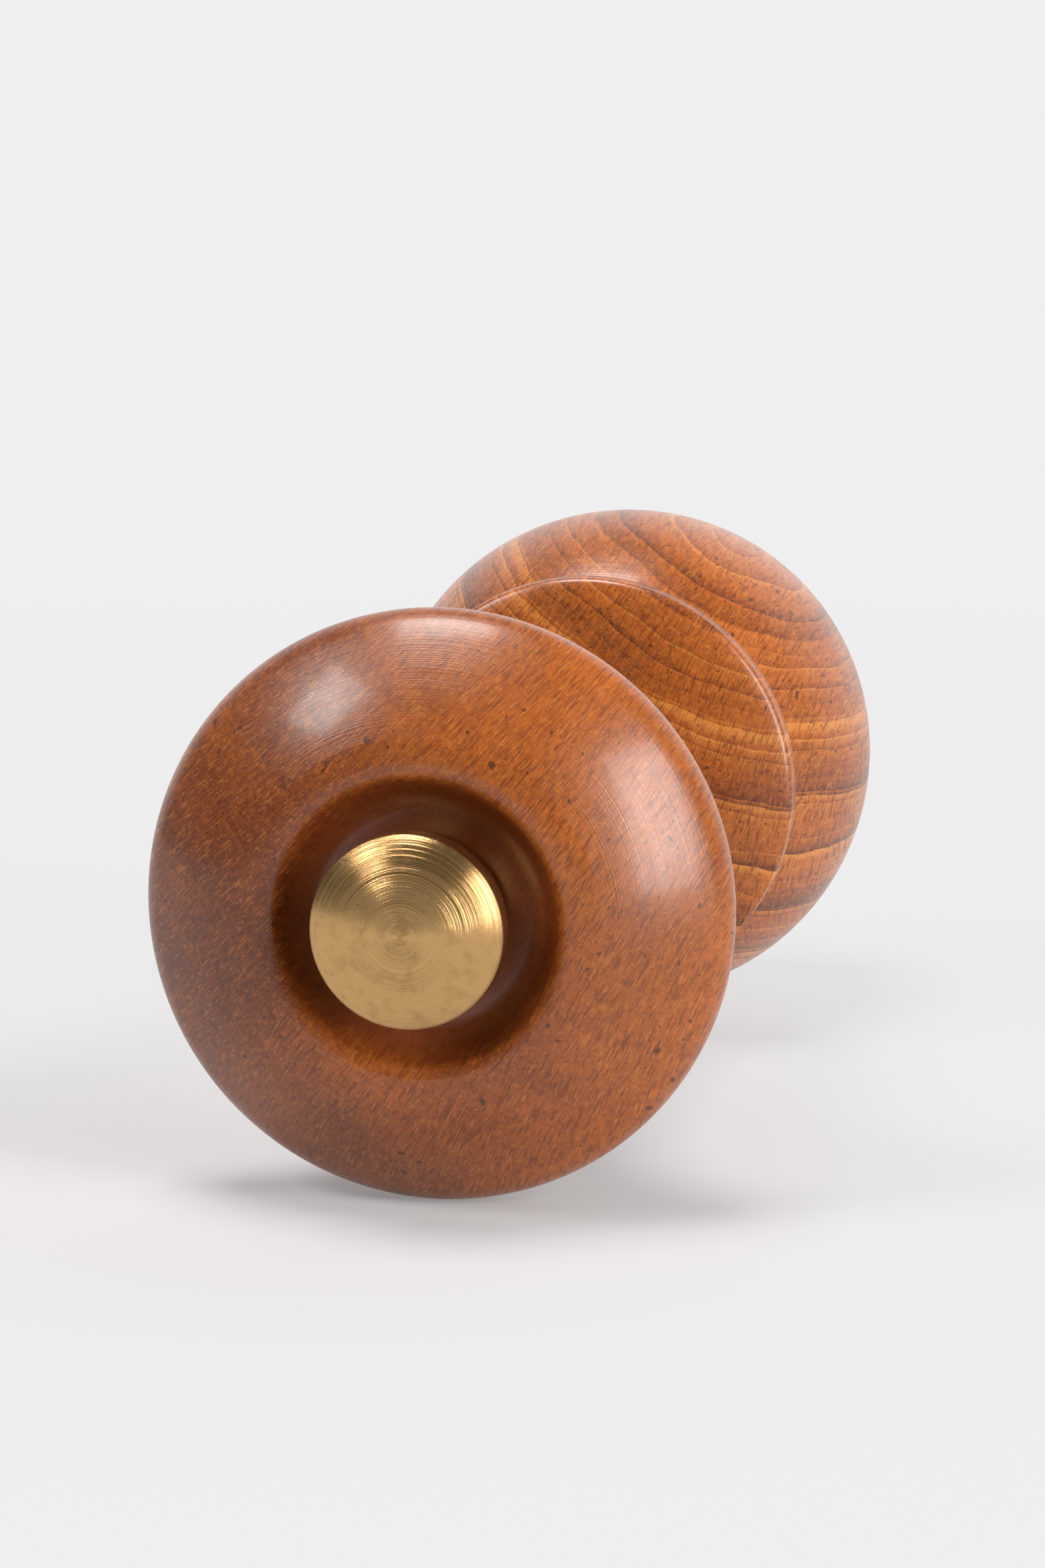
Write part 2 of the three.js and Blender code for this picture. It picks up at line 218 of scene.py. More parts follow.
class MillColours(bpy.types.PropertyGroup):
    late_wood: bpy.props.FloatVectorProperty(
        name="Late wood",
        description="Darkest part of a growth ring",
        subtype="COLOR",
        default=(0.12, 0.024, 0.006),
    )
    middle_wood: bpy.props.FloatVectorProperty(
        name="Middle wood",
        description="The teak's overall colour",
        subtype="COLOR",
        default=(0.40, 0.098, 0.012),
    )
    early_wood: bpy.props.FloatVectorProperty(
        name="Early wood",
        description="The light line that starts a growth ring",
        subtype="COLOR",
        default=(0.62, 0.22, 0.04),
    )
    brass: bpy.props.FloatVectorProperty(
        name="Brass",
        description="Colour of the knob and the two rings",
        subtype="COLOR",
        default=(0.60, 0.36, 0.15),
    )
    steel: bpy.props.FloatVectorProperty(
        name="Steel",
        description="Colour of the plain steel pieces",
        subtype="COLOR",
        default=(0.56, 0.57, 0.58),
    )
    cutter_steel: bpy.props.FloatVectorProperty(
        name="Cutter steel",
        description="Colour of the hardened rotor and grinding ring",
        subtype="COLOR",
        default=(0.25, 0.26, 0.27),
    )


# ------------------------------------------------------------------ outlines


class Outline:
    """A profile of (radius, height) points that is drawn from its first point onwards."""

    def __init__(self, radius, height):
        self.points = [Vector((radius, height))]

    def to(self, *corners):
        """Straight lines to one corner after another."""
        self.points += [Vector(corner) for corner in corners]
        return self

    def curve(self, *handles, steps=10):
        """A Bezier curve that ends at its last handle."""
        first = [self.points[-1]] + [Vector(handle) for handle in handles]
        for step in range(1, steps + 1):
            row = first
            while len(row) > 1:
                row = [a.lerp(b, step / steps) for a, b in zip(row, row[1:])]
            self.points.append(row[0])
        return self

    def arc(self, centre, radii, start, end, steps=10):
        """Part of a circle or an upright ellipse, between two angles."""
        for step in range(steps + 1):
            angle = start + (end - start) * step / steps
            across = centre[0] + radii[0] * math.cos(angle)
            up = centre[1] + radii[1] * math.sin(angle)
            self.points.append(Vector((across, up)))
        return self

    def close(self):
        self.points.append(self.points[0].copy())
        return self


def eased_ring(inner, outer, low, high, ease=0.12):
    """The outline of a flat ring with small chamfers."""
    outline = Outline(inner + ease, low)
    outline.to((outer - ease, low), (outer, low + ease), (outer, high - ease))
    outline.to((outer - ease, high), (inner + ease, high), (inner, high - ease))
    return outline.to((inner, low + ease)).close()


def at(radius, height, angle=0):
    """The place of a point of the standing mill once the mill lies down."""
    across = radius * math.cos(angle) * MM
    up = radius * math.sin(angle) * MM
    return AXIS + Vector((across, FOOT_Y - height * MM, up))


# ------------------------------------------------------------------ modelling steps


def select_only(*objects):
    bpy.ops.object.select_all(action="DESELECT")
    for one in objects:
        one.select_set(True)
    if objects:
        bpy.context.view_layer.objects.active = objects[0]


def name_piece(name):
    piece = bpy.context.object
    piece.name = name
    piece.data.name = name
    return piece


def whole_mesh_in_edit_mode():
    bpy.ops.object.mode_set(mode="EDIT")
    bpy.ops.mesh.select_mode(type="VERT")
    bpy.ops.mesh.select_all(action="SELECT")


def close_up(piece, sharp):
    """Merges doubles, turns the faces outwards and shades the piece."""
    select_only(piece)
    whole_mesh_in_edit_mode()
    bpy.ops.mesh.remove_doubles(threshold=1e-6)
    bpy.ops.mesh.normals_make_consistent(inside=False)
    bpy.ops.object.mode_set(mode="OBJECT")
    bpy.ops.object.shade_smooth_by_angle(angle=math.radians(sharp))


def turned(name, outline, sides=128, sharp=28):
    """Draws an outline edge by edge and spins it round the mill's axis."""
    points = [at(*point) for point in outline.points]
    select_only()
    bpy.ops.mesh.primitive_plane_add(size=MM, location=points[0])
    piece = name_piece(name)
    bpy.ops.object.transform_apply(location=True, rotation=False, scale=False)
    whole_mesh_in_edit_mode()
    bpy.ops.mesh.merge(type="CENTER")
    for here, there in zip(points, points[1:]):
        bpy.ops.mesh.extrude_vertices_move(TRANSFORM_OT_translate={"value": there - here})
    bpy.ops.mesh.select_all(action="SELECT")
    bpy.ops.mesh.spin(steps=sides, angle=math.tau, center=AXIS, axis=(0, 1, 0))
    bpy.ops.object.mode_set(mode="OBJECT")
    close_up(piece, sharp)
    return piece


def block(name, middle, size):
    """A box with its place in its mesh."""
    select_only()
    bpy.ops.mesh.primitive_cube_add(size=1, location=middle, scale=size)
    piece = name_piece(name)
    bpy.ops.object.transform_apply(location=True, rotation=False, scale=True)
    return piece


def carve(piece, cutter):
    """Cuts one closed mesh out of another and throws the cutter away."""
    select_only(piece)
    bpy.ops.object.modifier_add(type="BOOLEAN")
    cut = piece.modifiers[-1]
    cut.operation = "DIFFERENCE"
    cut.solver = "EXACT"
    cut.object = cutter
    bpy.ops.object.modifier_apply(modifier=cut.name)
    bpy.data.objects.remove(cutter)


def ease_edges(piece, width, sharp=30):
    select_only(piece)
    bpy.ops.object.modifier_add(type="BEVEL")
    bevel = piece.modifiers[-1]
    bevel.width = width
    bevel.segments = 2
    bevel.limit_method = "ANGLE"
    bevel.angle_limit = math.radians(sharp)
    bpy.ops.object.modifier_apply(modifier=bevel.name)
    bpy.ops.object.shade_smooth_by_angle(angle=math.radians(sharp))


def joined(name, *parts):
    select_only(*parts)
    bpy.ops.object.join()
    return name_piece(name)


def refined(node, name, width):
    """A copy of a CAD node as clean faces with eased edges."""
    select_only(FRAME["nodes"][node])
    bpy.ops.object.duplicate()
    bpy.ops.object.parent_clear(type="CLEAR")
    piece = name_piece(name)
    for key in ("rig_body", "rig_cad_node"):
        del piece[key]
    piece.data.materials.clear()
    whole_mesh_in_edit_mode()
    bpy.ops.mesh.remove_doubles(threshold=1e-6)
    bpy.ops.mesh.dissolve_limited(angle_limit=math.radians(1))
    bpy.ops.object.mode_set(mode="OBJECT")
    ease_edges(piece, width)
    return piece


def install(piece, node, body, material):
    """Puts a finished piece in the frame in place of its CAD node."""
    piece.data.materials.append(material)
    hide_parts(node)
    if body:
        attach(piece, body)


# ------------------------------------------------------------------ shader maths


class Sum:
    """A socket that can be added, multiplied and so on: each operator adds a Math node."""

    def __init__(self, recipe, socket):
        self.recipe = recipe
        self.socket = socket

    def __add__(self, other):
        return self.recipe.math("ADD", self, other)

    def __sub__(self, other):
        return self.recipe.math("SUBTRACT", self, other)

    def __rsub__(self, other):
        return self.recipe.math("SUBTRACT", other, self)

    def __mul__(self, other):
        return self.recipe.math("MULTIPLY", self, other)

    __radd__ = __add__
    __rmul__ = __mul__


class Recipe:
    """A node tree that is written as expressions."""

    def __init__(self, tree):
        self.tree = tree
        self.seed = 0

    def node(self, kind, settings=None, values=None, output=0):
        """Adds a node, sets it up, feeds it numbers or sockets, and gives back one output."""
        made = self.tree.nodes.new("ShaderNode" + kind)
        for name, setting in (settings or {}).items():
            if name == "stops":
                for index, (position, colour) in enumerate(setting):
                    stops = made.color_ramp.elements
                    stop = stops[index] if index < 2 else stops.new(position)
                    stop.position = position
                    stop.color = (*colour, 1) if isinstance(colour, tuple) else (colour,) * 3 + (1,)
            else:
                setattr(made, name, setting)
        for name, value in (values or {}).items():
            self.feed(made.inputs[name], value)
        return Sum(self, made.outputs[output])

    def feed(self, socket, value):
        if isinstance(value, Sum):
            self.tree.links.new(value.socket, socket)
        else:
            socket.default_value = value

    def math(self, operation, first, second=0):
        return self.node("Math", {"operation": operation}, {0: first, 1: second})

    def mix(self, factor, first, second):
        settings = {"data_type": "RGBA", "blend_type": "MIX", "clamp_factor": True}
        return self.node("Mix", settings, {0: factor, 6: first, 7: second}, output=2)

    def ramp(self, factor, *stops):
        """A value or a colour that follows the factor through the given stops."""
        ends_first = (stops[0], stops[-1], *stops[1:-1])
        return self.node("ValToRGB", {"stops": ends_first}, {0: factor})

    def fade(self, value, low, high, first=0.0, last=1.0):
        """Goes smoothly from first to last as the value goes from low to high."""
        values = {"Value": value, "From Min": low, "From Max": high, "To Min": first, "To Max": last}
        return self.node("MapRange", {"interpolation_type": "SMOOTHSTEP"}, values)

    def place(self):
        """The point's place on the piece, in millimetres."""
        values = {0: self.node("TexCoord", output=3), "Scale": 1 / MM}
        return self.node("VectorMath", {"operation": "SCALE"}, values)

    def axes(self, vector):
        return [self.node("SeparateXYZ", {}, {0: vector}, output=axis) for axis in range(3)]

    def vector(self, x=0.0, y=0.0, z=0.0):
        return self.node("CombineXYZ", {}, {0: x, 1: y, 2: z})

    def noise(self, vector, size, detail=2.0):
        """Noise from 0 to 1; size is its grain along X, Y and Z in millimetres."""
        self.seed += 1
        shift = (self.seed * 17.3, self.seed * 31.7, self.seed * 11.9)
        values = {"Vector": vector, "Location": shift, "Scale": [1 / each for each in size]}
        placed = self.node("Mapping", {}, values)
        return self.node("TexNoise", {}, {"Vector": placed, "Scale": 1, "Detail": detail})

    def noise_along(self, position, detail=1.0):
        """Noise from 0 to 1 along one number."""
        self.seed += 1
        shifted = position + self.seed * 7.31
        settings = {"noise_dimensions": "1D"}
        return self.node("TexNoise", settings, {"W": shifted, "Scale": 1, "Detail": detail})

    def random(self, number):
        return self.node("TexWhiteNoise", {"noise_dimensions": "1D"}, {"W": number})

    def bump(self, height, depth, strength=1.0):
        """A normal from a height of 0 to 1 that stands for a depth in millimetres."""
        values = {"Height": height, "Distance": depth * MM, "Strength": strength}
        return self.node("Bump", {}, values)


def start_material(name):
    """A new material, its recipe and its shader."""
    material = bpy.data.materials.new(name)
    material.use_nodes = True
    shader = material.node_tree.nodes["Principled BSDF"]
    return material, Recipe(material.node_tree), shader


def growth_rings(recipe, position, spread):
    """Each ring starts with a thin light line and darkens slowly outwards, by its own strength."""
    uneven = position + (recipe.noise_along(position * 0.45) - 0.5) * spread
    vigour = recipe.random(recipe.math("FLOOR", uneven))
    across = recipe.math("FRACT", uneven)
    tone = recipe.ramp(across, (0, 1.0), (0.05, 0.95), (0.16, 0.62), (0.6, 0.48), (0.9, 0.15), (1, 0.0))
    return (tone - 0.5) * vigour


def teak(name, ring_contrast, pith, shade, open_pores, painted_side_light, speckle):
    """Oiled teak with its grain along the mill.

    The pith is at (x, z) in millimetres. Shade lightens the wood, and speckle sets how uneven its
    fine grain is. The side-light number lightens the wood towards +X by the millimetre: painted light
    on the side the right softbox faces, painted shade on the left. The head's dish gets painted shade.
    """
    sizes, colours = bpy.context.scene.mill_sizes, bpy.context.scene.mill_colours
    material, r, shader = start_material(name)
    place = r.place()
    x, y, z = r.axes(place)
    right, up = x - pith[0], z - pith[1]
    waves = (r.noise(place, (34, 240, 34)) - 0.5) * 9 + (r.noise(place, (3.5, 40, 3.5)) - 0.5) * 0.8
    from_pith = r.math("SQRT", right * right + up * up) + waves
    strong = growth_rings(r, from_pith * (MM / sizes.ring_width), 0.9)
    fine = growth_rings(r, from_pith * (4.4 * MM / sizes.ring_width), 1.2)
    broad = r.noise(place, (16, 90, 16), 3)
    grain = r.noise(place, (0.5, 6, 0.5), 3)
    tone = 0.5 + strong * (0.75 * ring_contrast) + fine * (0.55 * ring_contrast)
    # x times the side-light number is painted light: the wood is lighter towards +X, where the right
    # softbox falls, and darker to the left as painted shade.
    tone = tone + (broad - 0.5) * 0.6 + (grain - 0.5) * (0.7 * speckle) + x * painted_side_light + shade
    stops = [
        (0, tuple(colours.late_wood)),
        (0.5, tuple(colours.middle_wood)),
        (1, tuple(colours.early_wood)),
    ]
    colour = r.ramp(tone, *stops)
    flecks = r.fade(r.noise(place, (0.22, 4, 0.22), 1), 0.62, 0.72)
    colour = r.mix(flecks * (0.45 * speckle), colour, (*colours.early_wood, 1))
    vessels = r.fade(r.noise(place, (0.35, 5, 0.35), 0), 0.72, 0.78)
    colour = r.mix(vessels * open_pores, colour, PORE_COLOUR)
    turn = r.math("ARCTAN2", up, right) * RAY_RADIUS
    rays = r.noise(r.vector(turn, y, from_pith), (0.2, 2.2, 1.8), 1)
    colour = r.mix(r.fade(rays, 0.5, 0.68) * 0.6, colour, (*colours.late_wood, 1))
    light_rays = r.noise(r.vector(turn, y, from_pith), (0.16, 2.0, 1.3), 1)
    colour = r.mix(r.fade(light_rays, 0.56, 0.7) * 0.3, colour, (*colours.early_wood, 1))
    specks = r.fade(r.noise(place, (0.9, 2.5, 0.9), 0), 0.8, 0.84)
    colour = r.mix(specks * 0.7, colour, PORE_COLOUR)
    above = z - AXIS.z / MM
    from_axis = r.math("SQRT", x * x + above * above)
    height = FOOT_Y / MM - y
    # Painted shade: inside the crest, the head's dish is darkened towards the late-wood colour,
    # standing in for the shade deep in the recess round the knob.
    dish_shade = r.fade(from_axis, CREST_RADIUS - 3.2, CREST_RADIUS - 0.8, DISH_PAINTED_SHADE, 0.0)
    dish_shade = dish_shade * r.fade(height, CREST_HEIGHT - 5, CREST_HEIGHT - 4.6)
    colour = r.mix(dish_shade, colour, (*colours.late_wood, 1))
    r.feed(shader.inputs["Base Color"], colour)

    tool_marks = r.noise(r.vector(from_axis, y), (0.12, 0.12, 1), 2)
    relief = grain * 0.5 + tool_marks * 1.4 + r.noise(place, (0.12, 2.5, 0.12), 1) * 0.4
    r.feed(shader.inputs["Normal"], r.bump(relief, 0.02, 0.8))
    r.feed(shader.inputs["Roughness"], 0.24 + r.noise(place, (2, 12, 2), 3) * 0.16)
    shader.inputs["Coat Weight"].default_value = OIL_COAT
    shader.inputs["Coat Roughness"].default_value = OIL_COAT_ROUGHNESS
    return material


def brushed(name, colour, roughness, groove, depth, stains):
    """Metal turned in rings round the mill's axis; groove and depth are in millimetres."""
    material, r, shader = start_material(name)
    place = r.place()
    x, y, z = r.axes(place)
    up = z - AXIS.z / MM
    from_axis = r.math("SQRT", x * x + up * up)
    rings = r.noise(r.vector(from_axis, y), (groove, groove, 1), 0)
    worn = r.noise(place, (1.6, 1.6, 1.6), 4)
    r.feed(shader.inputs["Normal"], r.bump(rings, depth, 1.0))
    tarnish = r.fade(worn, 0.45, 0.75) * stains
    pits = r.fade(r.noise(place, (0.28, 0.28, 0.28), 1), 0.77, 0.82) * (2 * stains)
    dull = (colour[0] * 0.45, colour[1] * 0.42, colour[2] * 0.40, 1)
    tinted = r.mix(tarnish, (*colour, 1), dull)
    r.feed(shader.inputs["Base Color"], r.mix(pits, tinted, PIT_COLOUR))
    r.feed(shader.inputs["Roughness"], roughness + tarnish * 0.25)
    shader.inputs["Metallic"].default_value = 1
    return material


def finish_named(name):
    """The material with this name, made the first time it's asked for."""
    if name in bpy.data.materials:
        return bpy.data.materials[name]
    colours = bpy.context.scene.mill_colours
    makers = {
        "Body teak": lambda: teak(
            name,
            ring_contrast=1.5,
            pith=(52, 129),
            shade=-0.07,
            open_pores=0.6,
            # painted light: the body teak gets lighter towards +X by the millimetre
            painted_side_light=0.003,
            speckle=1,
        ),
        "Head teak": lambda: teak(
            name,
            ring_contrast=0.14,
            pith=(70, 118),
            shade=-0.24,
            open_pores=0.25,
            # painted light: the head teak gets lighter towards +X by the millimetre
            painted_side_light=0.0065,
            speckle=0.7,
        ),
        "Brass": lambda: brushed(
            name, colours.brass, roughness=0.22, groove=0.035, depth=0.022, stains=0.35
        ),
        "Steel": lambda: brushed(
            name, colours.steel, roughness=0.28, groove=0.15, depth=0.006, stains=0.3
        ),
        "Cutter steel": lambda: brushed(
            name, colours.cutter_steel, roughness=0.42, groove=0.3, depth=0.01, stains=0.4
        ),
    }
    return makers[name]()


# ------------------------------------------------------------------ the pieces


class MILL_OT_body(bpy.types.Operator):
    """Turn the teak body: bulb, cove, collar, mouth, chamber and the recess in the foot"""

    bl_idname = "mill.body"
    bl_label = "Teak body"

    def execute(self, context):
        bulb_low = BULB_HEIGHT / math.sqrt(1 - (FOOT_RADIUS / RADIUS) ** 2)
        foot_angle = -math.asin((BULB_HEIGHT - FOOT_BEVEL) / bulb_low)
        outline = Outline(RECESS_RADIUS + 0.3, 0)
        outline.to((FOOT_RADIUS - FOOT_BEVEL, 0))
        outline.arc((0, BULB_HEIGHT), (RADIUS, bulb_low), foot_angle, 0, steps=24)
        outline.arc((0, BULB_HEIGHT), (RADIUS, RADIUS), 0, COVE_ANGLE, steps=16)
        outline.curve((20.6, 43.7), (COLLAR_RADIUS - 1, COLLAR_LOW - 0.8), steps=12)
        outline.curve((COLLAR_RADIUS, COLLAR_LOW - 0.1), (COLLAR_RADIUS, COLLAR_LOW + 0.8), steps=5)
        outline.arc(
            (COLLAR_RADIUS - COLLAR_ROUND, COLLAR_HIGH),
            (COLLAR_ROUND, COLLAR_ROUND),
            0,
            math.pi / 3,
            steps=7,
        )
        outline.curve((21.2, SEAT_HEIGHT - 0.7), (SEAT_RADIUS, SEAT_HEIGHT), steps=14)
        outline.to((MOUTH_RADIUS + 0.3, SEAT_HEIGHT), (MOUTH_RADIUS, SEAT_HEIGHT - 0.3))
        outline.to((MOUTH_RADIUS, MOUTH_LOW), (CHAMBER_RADIUS, CHAMBER_HIGH))
        outline.to((CHAMBER_RADIUS, RECESS_HEIGHT), (RECESS_RADIUS, RECESS_HEIGHT))
        outline.to((RECESS_RADIUS, 0.3)).close()
        body = turned("teak_body", outline, sides=160)
        install(body, "mill_body", "body", finish_named("Body teak"))
        return {"FINISHED"}


class MILL_OT_head(bpy.types.Operator):
    """Turn the teak head with its crest, dish, slim neck and grooved tenon"""

    bl_idname = "mill.head"
    bl_label = "Teak head"

    def execute(self, context):
        outline = Outline(HEAD_BORE, TENON_LOW)
        outline.to((TENON_RADIUS - 0.4, TENON_LOW), (TENON_RADIUS, TENON_LOW + 0.4))
        outline.to((TENON_RADIUS, TENON_GROOVE_LOW), (TENON_GROOVE_RADIUS, TENON_GROOVE_LOW))
        outline.to((TENON_GROOVE_RADIUS, NECK_FOOT_HEIGHT))
        outline.to((NECK_FOOT_RADIUS - 0.3, NECK_FOOT_HEIGHT))
        outline.curve(
            (NECK_FOOT_RADIUS, NECK_FOOT_HEIGHT), (NECK_FOOT_RADIUS, NECK_FOOT_HEIGHT + 0.4), steps=4
        )
        outline.to((NECK_FOOT_RADIUS, NECK_FOOT_HEIGHT + 1.6))
        outline.curve((NECK_RADIUS, 62), (NECK_RADIUS, 78), steps=12)
        outline.curve((NECK_RADIUS, 92), (10, 103), (13.4, 111), steps=16)
        outline.curve((16, 117), (21, 120.6), (26.5, 123.4), steps=14)
        outline.curve((RADIUS, 125), (RADIUS, HEAD_HEIGHT), steps=12)
        outline.curve((RADIUS, HEAD_HEIGHT + 1.7), (27.4, HEAD_HEIGHT + 3.3), steps=12)
        outline.curve((22.6, 135.8), (CREST_RADIUS + 3, CREST_HEIGHT - 0.8), steps=14)
        outline.curve(
            (CREST_RADIUS + 1.9, CREST_HEIGHT - 0.2), (CREST_RADIUS, CREST_HEIGHT), steps=8
        )
        outline.curve(
            (CREST_RADIUS - 1.3, CREST_HEIGHT), (CREST_RADIUS - 1.7, CREST_HEIGHT - 1), steps=8
        )
        outline.curve((12.5, DISH_FLOOR), (DISH_RADIUS, DISH_FLOOR), steps=10)
        outline.to((HEAD_BORE, DISH_FLOOR)).close()
        head = turned("teak_head", outline, sides=192)
        install(head, "head", "head", finish_named("Head teak"))
        return {"FINISHED"}


class MILL_OT_knob(bpy.types.Operator):
    """Turn the domed brass knob and knurl its rim"""

    bl_idname = "mill.knob"
    bl_label = "Brass knob"

    def execute(self, context):
        sizes = context.scene.mill_sizes
        outline = Outline(KNOB_BORE, KNOB_LOW)
        outline.to((6.6, KNOB_LOW))
        outline.curve((6.8, KNOB_RIM_LOW - 0.4), (KNOB_RADIUS - 0.2, KNOB_RIM_LOW), steps=8)
        outline.to((KNOB_RADIUS, KNOB_RIM_LOW + 0.2), (KNOB_RADIUS, KNOB_RIM_HIGH))
        outline.curve(
            (KNOB_RADIUS, KNOB_RIM_HIGH + 0.3), (KNOB_RADIUS - 0.4, KNOB_RIM_HIGH + 0.5), steps=3
        )
        outline.curve((5.4, LENGTH - 0.1), (0, LENGTH), steps=24)
        outline.points.append(Vector((0, SPINDLE_HIGH + 1)))
        outline.to((KNOB_BORE, SPINDLE_HIGH + 1)).close()
        knob = turned("brass_knob", outline, sides=2 * sizes.knurls)
        rim_low = FOOT_Y - (KNOB_RIM_HIGH + 0.05) * MM
        rim_high = FOOT_Y - KNOB_RIM_LOW * MM
        for corner in knob.data.vertices:
            from_axis = corner.co - AXIS
            on_rim = rim_low < corner.co.y < rim_high
            outside = math.hypot(from_axis.x, from_axis.z) > (KNOB_RADIUS - 0.05) * MM
            turn = math.atan2(from_axis.z, from_axis.x) / math.tau * 2 * sizes.knurls
            corner.select = on_rim and outside and round(turn) % 2 == 1
        bpy.ops.object.mode_set(mode="EDIT")
        shrunk = 1 - sizes.knurl_depth / (KNOB_RADIUS * MM)
        bpy.ops.transform.resize(value=(shrunk, 1, shrunk), center_override=AXIS)
        bpy.ops.object.mode_set(mode="OBJECT")
        install(knob, "knob", "knob", finish_named("Brass"))
        return {"FINISHED"}


class MILL_OT_brass_rings(bpy.types.Operator):
    """Turn the knob's washer and the slip ring under the neck"""

    bl_idname = "mill.brass_rings"
    bl_label = "Brass rings"

    def execute(self, context):
        washer = turned(
            "knob_bearing_washer",
            eased_ring(*KNOB_WASHER_RADII, DISH_FLOOR + GAP, KNOB_LOW - GAP),
        )
        install(washer, "knob_washer", "head", finish_named("Brass"))
        slip_ring = turned(
            "neck_slip_ring",
            eased_ring(*SLIP_RING_RADII, SEAT_HEIGHT + GAP, NECK_FOOT_HEIGHT - GAP),
        )
        install(slip_ring, "slip_ring", "slip_ring", finish_named("Brass"))
        return {"FINISHED"}


class MILL_OT_spindle(bpy.types.Operator):
    """Make the square spindle with its journal, clip groove and threaded end"""

    bl_idname = "mill.spindle"
    bl_label = "Spindle"

    def execute(self, context):
        journal = Outline(0, SPINDLE_LOW)
        journal.to((JOURNAL_RADIUS - 0.3, SPINDLE_LOW), (JOURNAL_RADIUS, SPINDLE_LOW + 0.3))
        journal.to((JOURNAL_RADIUS, CLIP_GROOVE_LOW), (CLIP_GROOVE_RADIUS, CLIP_GROOVE_LOW))
        journal.to((CLIP_GROOVE_RADIUS, SQUARE_LOW + 0.5), (0, SQUARE_LOW + 0.5))
        thread = Outline(0, SQUARE_HIGH - 0.5)
        thread.to((THREAD_RADIUS - THREAD_DEPTH, SQUARE_HIGH - 0.5))
        for turn in range(int((SPINDLE_HIGH - SQUARE_HIGH) / THREAD_PITCH)):
            height = SQUARE_HIGH + turn * THREAD_PITCH
            thread.to((THREAD_RADIUS - THREAD_DEPTH, height))
            thread.to((THREAD_RADIUS, height + THREAD_PITCH / 2))
        thread.to((THREAD_RADIUS - THREAD_DEPTH, SPINDLE_HIGH), (0, SPINDLE_HIGH))
        square_length = (SQUARE_HIGH - SQUARE_LOW) * MM
        bar = block(
            "square_bar",
            at(0, (SQUARE_HIGH + SQUARE_LOW) / 2),
            (SPINDLE_SIDE * MM, square_length, SPINDLE_SIDE * MM),
        )
        ease_edges(bar, 0.2 * MM)
        ends = [turned("journal", journal, sides=48), turned("thread", thread, sides=48)]
        spindle = joined("square_spindle", bar, *ends)
        install(spindle, "spindle", "grinder", finish_named("Steel"))
        return {"FINISHED"}


class MILL_OT_cutters(bpy.types.Operator):
    """Make the toothed rotor and the toothed ring round it"""

    bl_idname = "mill.cutters"
    bl_label = "Rotor and grinding ring"

    def execute(self, context):
        edge = context.scene.mill_sizes.eased_edge
        rotor = refined("rotor", "toothed_rotor", edge)
        install(rotor, "rotor", "grinder", finish_named("Cutter steel"))
        ring = refined("grinding_ring", "toothed_ring", edge)
        install(ring, "grinding_ring", "body", finish_named("Cutter steel"))
        return {"FINISHED"}


class MILL_OT_spring(bpy.types.Operator):
    """Make the spring, the bridge that it pushes against and its seat on the rotor"""

    bl_idname = "mill.spring"
    bl_label = "Spring and its bridge"

    def execute(self, context):
        edge = context.scene.mill_sizes.eased_edge
        steel = finish_named("Steel")
        bridge = refined("spring_bridge", "stamped_spring_bridge", edge)
        install(bridge, "spring_bridge", "body", steel)
        seat_low = ROTOR_HIGH + GAP
        seat_high = seat_low + WASHER_THICK
        seat = turned("spring_seat_washer", eased_ring(*SPRING_SEAT_RADII, seat_low, seat_high))
        install(seat, "spring_seat", "spring_seat", steel)

        low = seat_high + GAP + SPRING_WIRE
        high = BRIDGE_LOW - GAP - SPRING_WIRE
        select_only()
        bpy.ops.mesh.primitive_circle_add(
            vertices=12, radius=SPRING_WIRE * MM, location=at(SPRING_COIL, high)
        )
        spring = name_piece("rotor_spring")
        context.scene.cursor.location = AXIS
        bpy.ops.object.origin_set(type="ORIGIN_CURSOR")
        bpy.ops.object.modifier_add(type="SCREW")
        coil = spring.modifiers[-1]
        coil.axis = "Y"
        coil.screw_offset = (high - low) * MM / SPRING_TURNS
        coil.iterations = SPRING_TURNS
        coil.steps = coil.render_steps = 36
        bpy.ops.object.modifier_apply(modifier=coil.name)
        bpy.ops.object.transform_apply(location=True, rotation=False, scale=False)
        whole_mesh_in_edit_mode()
        bpy.ops.mesh.remove_doubles(threshold=1e-6)
        bpy.ops.mesh.fill_holes(sides=0)
        bpy.ops.object.mode_set(mode="OBJECT")
        close_up(spring, sharp=40)
        install(spring, "mill_spring", None, steel)
        at(0, high)
        at(0, low)
        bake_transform(spring)
        return {"FINISHED"}


class MILL_OT_strap(bpy.types.Operator):
    """Make the stamped strap that carries the spindle's lower end, and the rotor's clip"""

    bl_idname = "mill.strap"
    bl_label = "Strap and clip"

    def execute(self, context):
        edge = context.scene.mill_sizes.eased_edge
        strap = refined("bottom_strap", "stamped_strap", edge)
        install(strap, "bottom_strap", "body", finish_named("Steel"))
        clip = turned("open_clip", eased_ring(*CLIP_RADII, CLIP_LOW, CLIP_LOW + WASHER_THICK))
        mouth = block("clip_mouth", at(3, CLIP_LOW + WASHER_THICK / 2), Vector((6, 3, 2.4)) * MM)
        carve(clip, mouth)
        install(clip, "rotor_clip", "grinder", finish_named("Steel"))
        return {"FINISHED"}


